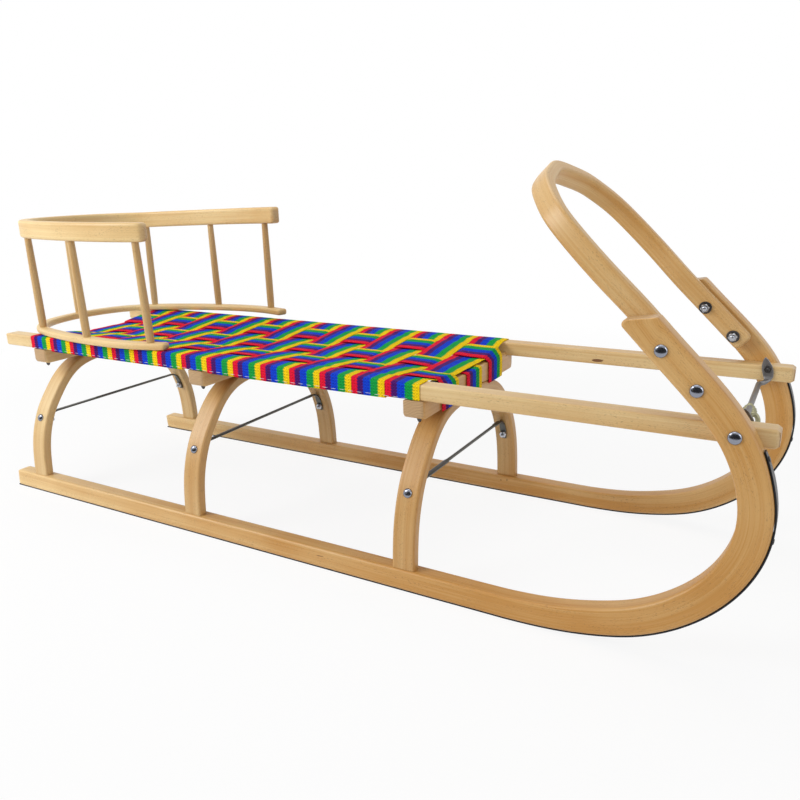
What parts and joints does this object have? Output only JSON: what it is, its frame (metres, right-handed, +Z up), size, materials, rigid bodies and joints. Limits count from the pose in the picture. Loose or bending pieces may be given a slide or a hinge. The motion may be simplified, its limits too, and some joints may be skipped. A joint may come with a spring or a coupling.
{
  "type": "wooden sled",
  "caption": "Wooden sled with runners that curve up into leaning horns, a hoop handle, arched supports, a woven striped strap seat and a child's backrest.",
  "frame": {"origin": "middle of the sled's box, at the floor", "axes": "+X to the front (the horns), +Y to the left, +Z up"},
  "size_m": [1.1997, 0.3684, 0.5139],
  "materials": {
    "runner_wood": "clear lacquered beech",
    "rail_wood": "clear lacquered beech",
    "frame_wood": "clear lacquered beech",
    "back_wood": "clear lacquered beech",
    "shoe_steel": "dark steel strip",
    "tie_steel": "dark steel rod",
    "tow_steel": "plain steel rod",
    "webbing": "woven straps with red, purple, blue, green and yellow stripes"
  },
  "bodies": {
    "root": {"runner_left": "runner_wood", "runner_right": "runner_wood", "hoop": "runner_wood", "rail_left": "rail_wood", "rail_right": "rail_wood", "arch_rear": "frame_wood", "arch_middle": "frame_wood", "arch_front": "frame_wood", "beam_rear": "frame_wood", "beam_middle": "frame_wood", "beam_front": "frame_wood", "back_rail_bottom": "back_wood", "back_rail_top": "back_wood", "spindle_1": "back_wood", "spindle_2": "back_wood", "spindle_3": "back_wood", "spindle_4": "back_wood", "spindle_5": "back_wood", "spindle_6": "back_wood", "spindle_7": "back_wood", "shoe_left": "shoe_steel", "shoe_right": "shoe_steel", "tie_rear": "tie_steel", "tie_middle": "tie_steel", "tie_front": "tie_steel", "tow_bar": "tow_steel", "tow_ring": "tow_steel", "strap_01": "webbing", "strap_02": "webbing", "strap_03": "webbing", "strap_04": "webbing", "strap_05": "webbing", "strap_06": "webbing", "strap_07": "webbing", "strap_08": "webbing", "strap_09": "webbing", "strap_10": "webbing", "strap_11": "webbing", "strap_12": "webbing", "strap_13": "webbing", "strap_14": "webbing", "strap_15": "webbing", "long_strap_left": "webbing", "long_strap_middle": "webbing", "long_strap_right": "webbing"}
  },
  "joints": []
}
